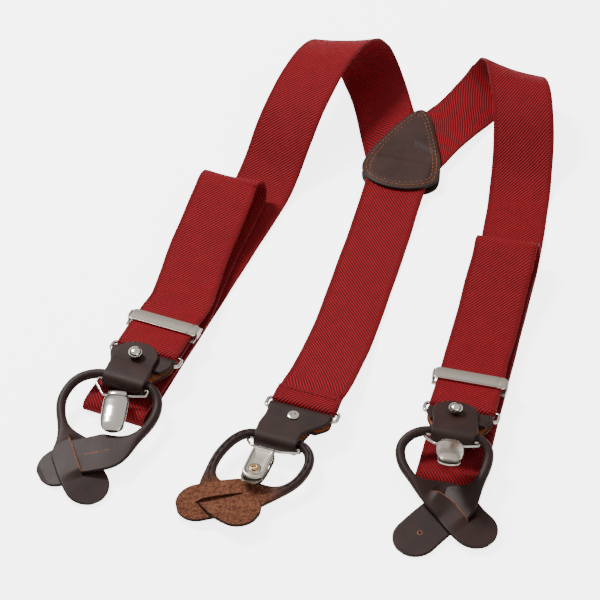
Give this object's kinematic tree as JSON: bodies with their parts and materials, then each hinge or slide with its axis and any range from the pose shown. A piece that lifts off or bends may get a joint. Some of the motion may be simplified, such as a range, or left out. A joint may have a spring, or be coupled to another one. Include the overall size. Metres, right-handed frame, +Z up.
{
  "type": "suspenders",
  "caption": "Y-back suspenders of flat elastic webbing, with a leather back patch and, at each end, a ring, a leather hanger, a leather button loop and a metal clip.",
  "frame": {"origin": "under the middle of the back patch, on the surface the suspenders lie on", "axes": "+X to the right and +Y away from the viewer, towards the shoulder arches; +Z up, out of the surface"},
  "size_m": [0.2853, 0.3766, 0.0395],
  "materials": {
    "patch_under_leather": "smooth",
    "patch_top_leather": "smooth",
    "left_front_webbing": "woven elastic",
    "right_front_webbing": "woven elastic",
    "rear_webbing": "woven elastic",
    "left_ring": "satin nickel plate",
    "left_hanger_leather": "smooth",
    "left_ball_stud": "satin nickel plate",
    "left_button_loop": "smooth",
    "left_clip_bail": "satin nickel plate",
    "left_clip_back_plate": "satin nickel plate",
    "left_clip_pad": "matt",
    "left_clip_eyelet": "polished",
    "left_clip_lever": "satin nickel plate",
    "left_adjuster_frame": "satin nickel plate",
    "left_adjuster_plate": "satin nickel plate",
    "right_ring": "satin nickel plate",
    "right_hanger_leather": "smooth",
    "right_ball_stud": "satin nickel plate",
    "right_button_loop": "smooth",
    "right_clip_bail": "satin nickel plate",
    "right_clip_back_plate": "satin nickel plate",
    "right_clip_pad": "matt",
    "right_clip_eyelet": "polished",
    "right_clip_lever": "satin nickel plate",
    "right_adjuster_frame": "satin nickel plate",
    "right_adjuster_plate": "satin nickel plate",
    "rear_ring": "satin nickel plate",
    "rear_hanger_leather": "smooth",
    "rear_ball_stud": "satin nickel plate",
    "rear_button_loop": "smooth",
    "rear_clip_bail": "satin nickel plate",
    "rear_clip_back_plate": "satin nickel plate",
    "rear_clip_pad": "matt",
    "rear_clip_eyelet": "polished",
    "rear_clip_lever": "satin nickel plate"
  },
  "bodies": {
    "straps": {"patch_under_leather": "patch_under_leather", "patch_top_leather": "patch_top_leather", "left_front_webbing": "left_front_webbing", "right_front_webbing": "right_front_webbing", "rear_webbing": "rear_webbing"},
    "left_ring": {"left_ring": "left_ring"},
    "left_hanger": {"left_hanger_leather": "left_hanger_leather", "left_ball_stud": "left_ball_stud"},
    "left_loop": {"left_button_loop": "left_button_loop"},
    "left_bail": {"left_clip_bail": "left_clip_bail"},
    "left_clip": {"left_clip_back_plate": "left_clip_back_plate", "left_clip_pad": "left_clip_pad", "left_clip_eyelet": "left_clip_eyelet"},
    "left_lever": {"left_clip_lever": "left_clip_lever"},
    "left_adjuster": {"left_adjuster_frame": "left_adjuster_frame"},
    "left_adjuster_plate": {"left_adjuster_plate": "left_adjuster_plate"},
    "right_ring": {"right_ring": "right_ring"},
    "right_hanger": {"right_hanger_leather": "right_hanger_leather", "right_ball_stud": "right_ball_stud"},
    "right_loop": {"right_button_loop": "right_button_loop"},
    "right_bail": {"right_clip_bail": "right_clip_bail"},
    "right_clip": {"right_clip_back_plate": "right_clip_back_plate", "right_clip_pad": "right_clip_pad", "right_clip_eyelet": "right_clip_eyelet"},
    "right_lever": {"right_clip_lever": "right_clip_lever"},
    "right_adjuster": {"right_adjuster_frame": "right_adjuster_frame"},
    "right_adjuster_plate": {"right_adjuster_plate": "right_adjuster_plate"},
    "rear_ring": {"rear_ring": "rear_ring"},
    "rear_hanger": {"rear_hanger_leather": "rear_hanger_leather", "rear_ball_stud": "rear_ball_stud"},
    "rear_loop": {"rear_button_loop": "rear_button_loop"},
    "rear_bail": {"rear_clip_bail": "rear_clip_bail"},
    "rear_clip": {"rear_clip_back_plate": "rear_clip_back_plate", "rear_clip_pad": "rear_clip_pad", "rear_clip_eyelet": "rear_clip_eyelet"},
    "rear_lever": {"rear_clip_lever": "rear_clip_lever"}
  },
  "joints": [
    {"name": "left_ring_swing", "type": "hinge", "parent": "straps", "child": "left_ring", "pos_m": [-0.14181, -0.1675, 0.01203], "axis": [-0.9336, 0.3584, 0], "range_deg": [0, 5]},
    {"name": "left_hanger_swing", "type": "hinge", "parent": "left_ring", "child": "left_hanger", "pos_m": [-0.14419, -0.1737, 0.01297], "axis": [-0.9336, 0.3584, 0], "range_deg": [0, 3]},
    {"name": "left_loop_swing", "type": "hinge", "parent": "left_hanger", "child": "left_loop", "pos_m": [-0.15247, -0.19108, 0.01457], "axis": [-0.9336, 0.3584, 0], "range_deg": [0, 60]},
    {"name": "left_bail_swing", "type": "hinge", "parent": "left_hanger", "child": "left_bail", "pos_m": [-0.15374, -0.1944, 0.01457], "axis": [-0.9336, 0.3584, 0], "range_deg": [0, 25]},
    {"name": "left_clip_swing", "type": "hinge", "parent": "left_bail", "child": "left_clip", "pos_m": [-0.15659, -0.20183, 0.01373], "axis": [-0.994, 0.1059, -0.0271], "range_deg": [0, 20]},
    {"name": "left_lever_open", "type": "hinge", "parent": "left_clip", "child": "left_lever", "pos_m": [-0.15665, -0.20195, 0.01527], "axis": [-0.994, 0.1059, -0.0271], "range_deg": [0, 45]},
    {"name": "left_adjuster_slide", "type": "slide", "parent": "straps", "child": "left_adjuster", "axis": [-0.3549, -0.9245, 0.1392], "range_m": [0, 0.008]},
    {"name": "left_adjuster_plate_open", "type": "hinge", "parent": "left_adjuster", "child": "left_adjuster_plate", "pos_m": [-0.13235, -0.14285, 0.01201], "axis": [-0.9336, 0.3584, 0], "range_deg": [0, 50]},
    {"name": "right_ring_swing", "type": "hinge", "parent": "straps", "child": "right_ring", "pos_m": [0.02597, -0.20937, 0.01203], "axis": [-0.9724, 0.2334, 0], "range_deg": [0, 5]},
    {"name": "right_hanger_swing", "type": "hinge", "parent": "right_ring", "child": "right_hanger", "pos_m": [0.02443, -0.21583, 0.01297], "axis": [-0.9724, 0.2334, 0], "range_deg": [0, 3]},
    {"name": "right_loop_swing", "type": "hinge", "parent": "right_hanger", "child": "right_loop", "pos_m": [0.02014, -0.23367, 0.01884], "axis": [-0.9724, 0.2334, 0], "range_deg": [0, 30]},
    {"name": "right_bail_swing", "type": "hinge", "parent": "right_hanger", "child": "right_bail", "pos_m": [0.01933, -0.23703, 0.01964], "axis": [-0.9724, 0.2334, 0], "range_deg": [0, 35]},
    {"name": "right_clip_swing", "type": "hinge", "parent": "right_bail", "child": "right_clip", "pos_m": [0.01762, -0.24419, 0.02277], "axis": [-0.9928, 0.1066, 0.0544], "range_deg": [0, 20]},
    {"name": "right_lever_open", "type": "hinge", "parent": "right_clip", "child": "right_lever", "pos_m": [0.01777, -0.2435, 0.02415], "axis": [-0.9928, 0.1066, 0.0544], "range_deg": [0, 45]},
    {"name": "right_adjuster_slide", "type": "slide", "parent": "straps", "child": "right_adjuster", "axis": [-0.2312, -0.9629, 0.1392], "range_m": [0, 0.008]},
    {"name": "right_adjuster_plate_open", "type": "hinge", "parent": "right_adjuster", "child": "right_adjuster_plate", "pos_m": [0.03214, -0.1837, 0.01201], "axis": [-0.9724, 0.2334, 0], "range_deg": [0, 50]},
    {"name": "rear_ring_swing", "type": "hinge", "parent": "straps", "child": "rear_ring", "pos_m": [-0.05761, -0.20624, 0.01097], "axis": [-0.9455, 0.3256, 0], "range_deg": [0, 5]},
    {"name": "rear_hanger_swing", "type": "hinge", "parent": "rear_ring", "child": "rear_hanger", "pos_m": [-0.05979, -0.21256, 0.01143], "axis": [-0.9455, 0.3256, 0], "range_deg": [0, 3]},
    {"name": "rear_loop_swing", "type": "hinge", "parent": "rear_hanger", "child": "rear_loop", "pos_m": [-0.07171, -0.22876, 0.00983], "axis": [-0.9455, 0.3256, 0], "range_deg": [0, 4]},
    {"name": "rear_bail_swing", "type": "hinge", "parent": "rear_hanger", "child": "rear_bail", "pos_m": [-0.07287, -0.23212, 0.00983], "axis": [-0.9455, 0.3256, 0], "range_deg": [0, 20]},
    {"name": "rear_clip_swing", "type": "hinge", "parent": "rear_bail", "child": "rear_clip", "pos_m": [-0.07812, -0.23815, 0.01283], "axis": [-0.9455, 0.3256, 0], "range_deg": [0, 20]},
    {"name": "rear_lever_open", "type": "hinge", "parent": "rear_clip", "child": "rear_lever", "pos_m": [-0.07815, -0.23823, 0.01128], "axis": [0.9455, -0.3256, 0], "range_deg": [0, 5]}
  ]
}
